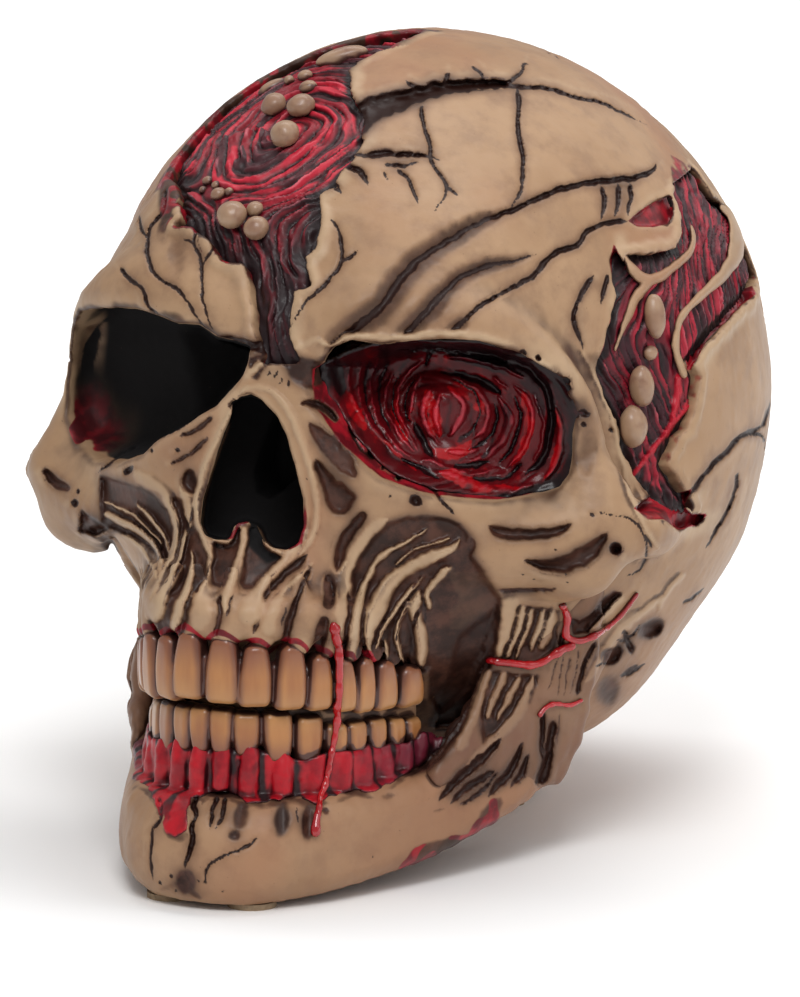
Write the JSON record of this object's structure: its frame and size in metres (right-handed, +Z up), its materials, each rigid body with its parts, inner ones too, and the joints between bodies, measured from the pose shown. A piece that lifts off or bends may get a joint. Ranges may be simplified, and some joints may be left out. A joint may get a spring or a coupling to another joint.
{
  "type": "decorative skull",
  "caption": "Life-size-proportioned decorative skull with closed jaw, sculpted wounds, blood runs, egg clusters and a flat foot; a free-standing seasonal ornament.",
  "frame": {"origin": "bottom centre of the bounding box, on the surface the skull stands on", "axes": "+Z up; the face looks along -Y; the skull's own left is +X"},
  "size_m": [0.1422, 0.191, 0.1603],
  "materials": {
    "painted_bone": "cold-cast resin painted as aged bone with a dark wash in the cracks, satin",
    "teeth": "resin painted amber ivory, semi-gloss",
    "flesh": "resin painted crimson with a wet gloss varnish",
    "dried_muscle": "resin painted bone and brown with dark grooves, satin",
    "blood": "clear red varnish run, high gloss",
    "egg": "resin painted beige, satin",
    "plug": "bare dark resin, matte",
    "felt": "black felt"
  },
  "bodies": {
    "root": {"base_plug": "plug", "cheek_blood_lower": "blood", "cheek_blood_middle": "blood", "cheek_blood_upper": "blood", "cranium_shell": "painted_bone", "crown_flesh": "flesh", "egg_crown_a": "egg", "egg_crown_b": "egg", "egg_crown_c": "egg", "egg_crown_d": "egg", "egg_crown_e": "egg", "egg_crown_f": "egg", "egg_forehead_a": "egg", "egg_forehead_b": "egg", "egg_forehead_c": "egg", "egg_forehead_d": "egg", "egg_forehead_e": "egg", "egg_temple_a": "egg", "egg_temple_b": "egg", "egg_temple_c": "egg", "egg_temple_d": "egg", "left_cheek_muscle": "dried_muscle", "left_eye_flesh": "flesh", "lower_gum": "flesh", "lower_teeth_row": "teeth", "mandible": "painted_bone", "mouth_blood_drip": "blood", "pad_base_left": "felt", "pad_base_right": "felt", "pad_chin_left": "felt", "pad_chin_right": "felt", "right_cheek_muscle": "dried_muscle", "temple_bone_shard_front": "painted_bone", "temple_bone_shard_rear": "painted_bone", "temple_flesh": "flesh", "upper_teeth_row": "teeth"}
  },
  "joints": []
}
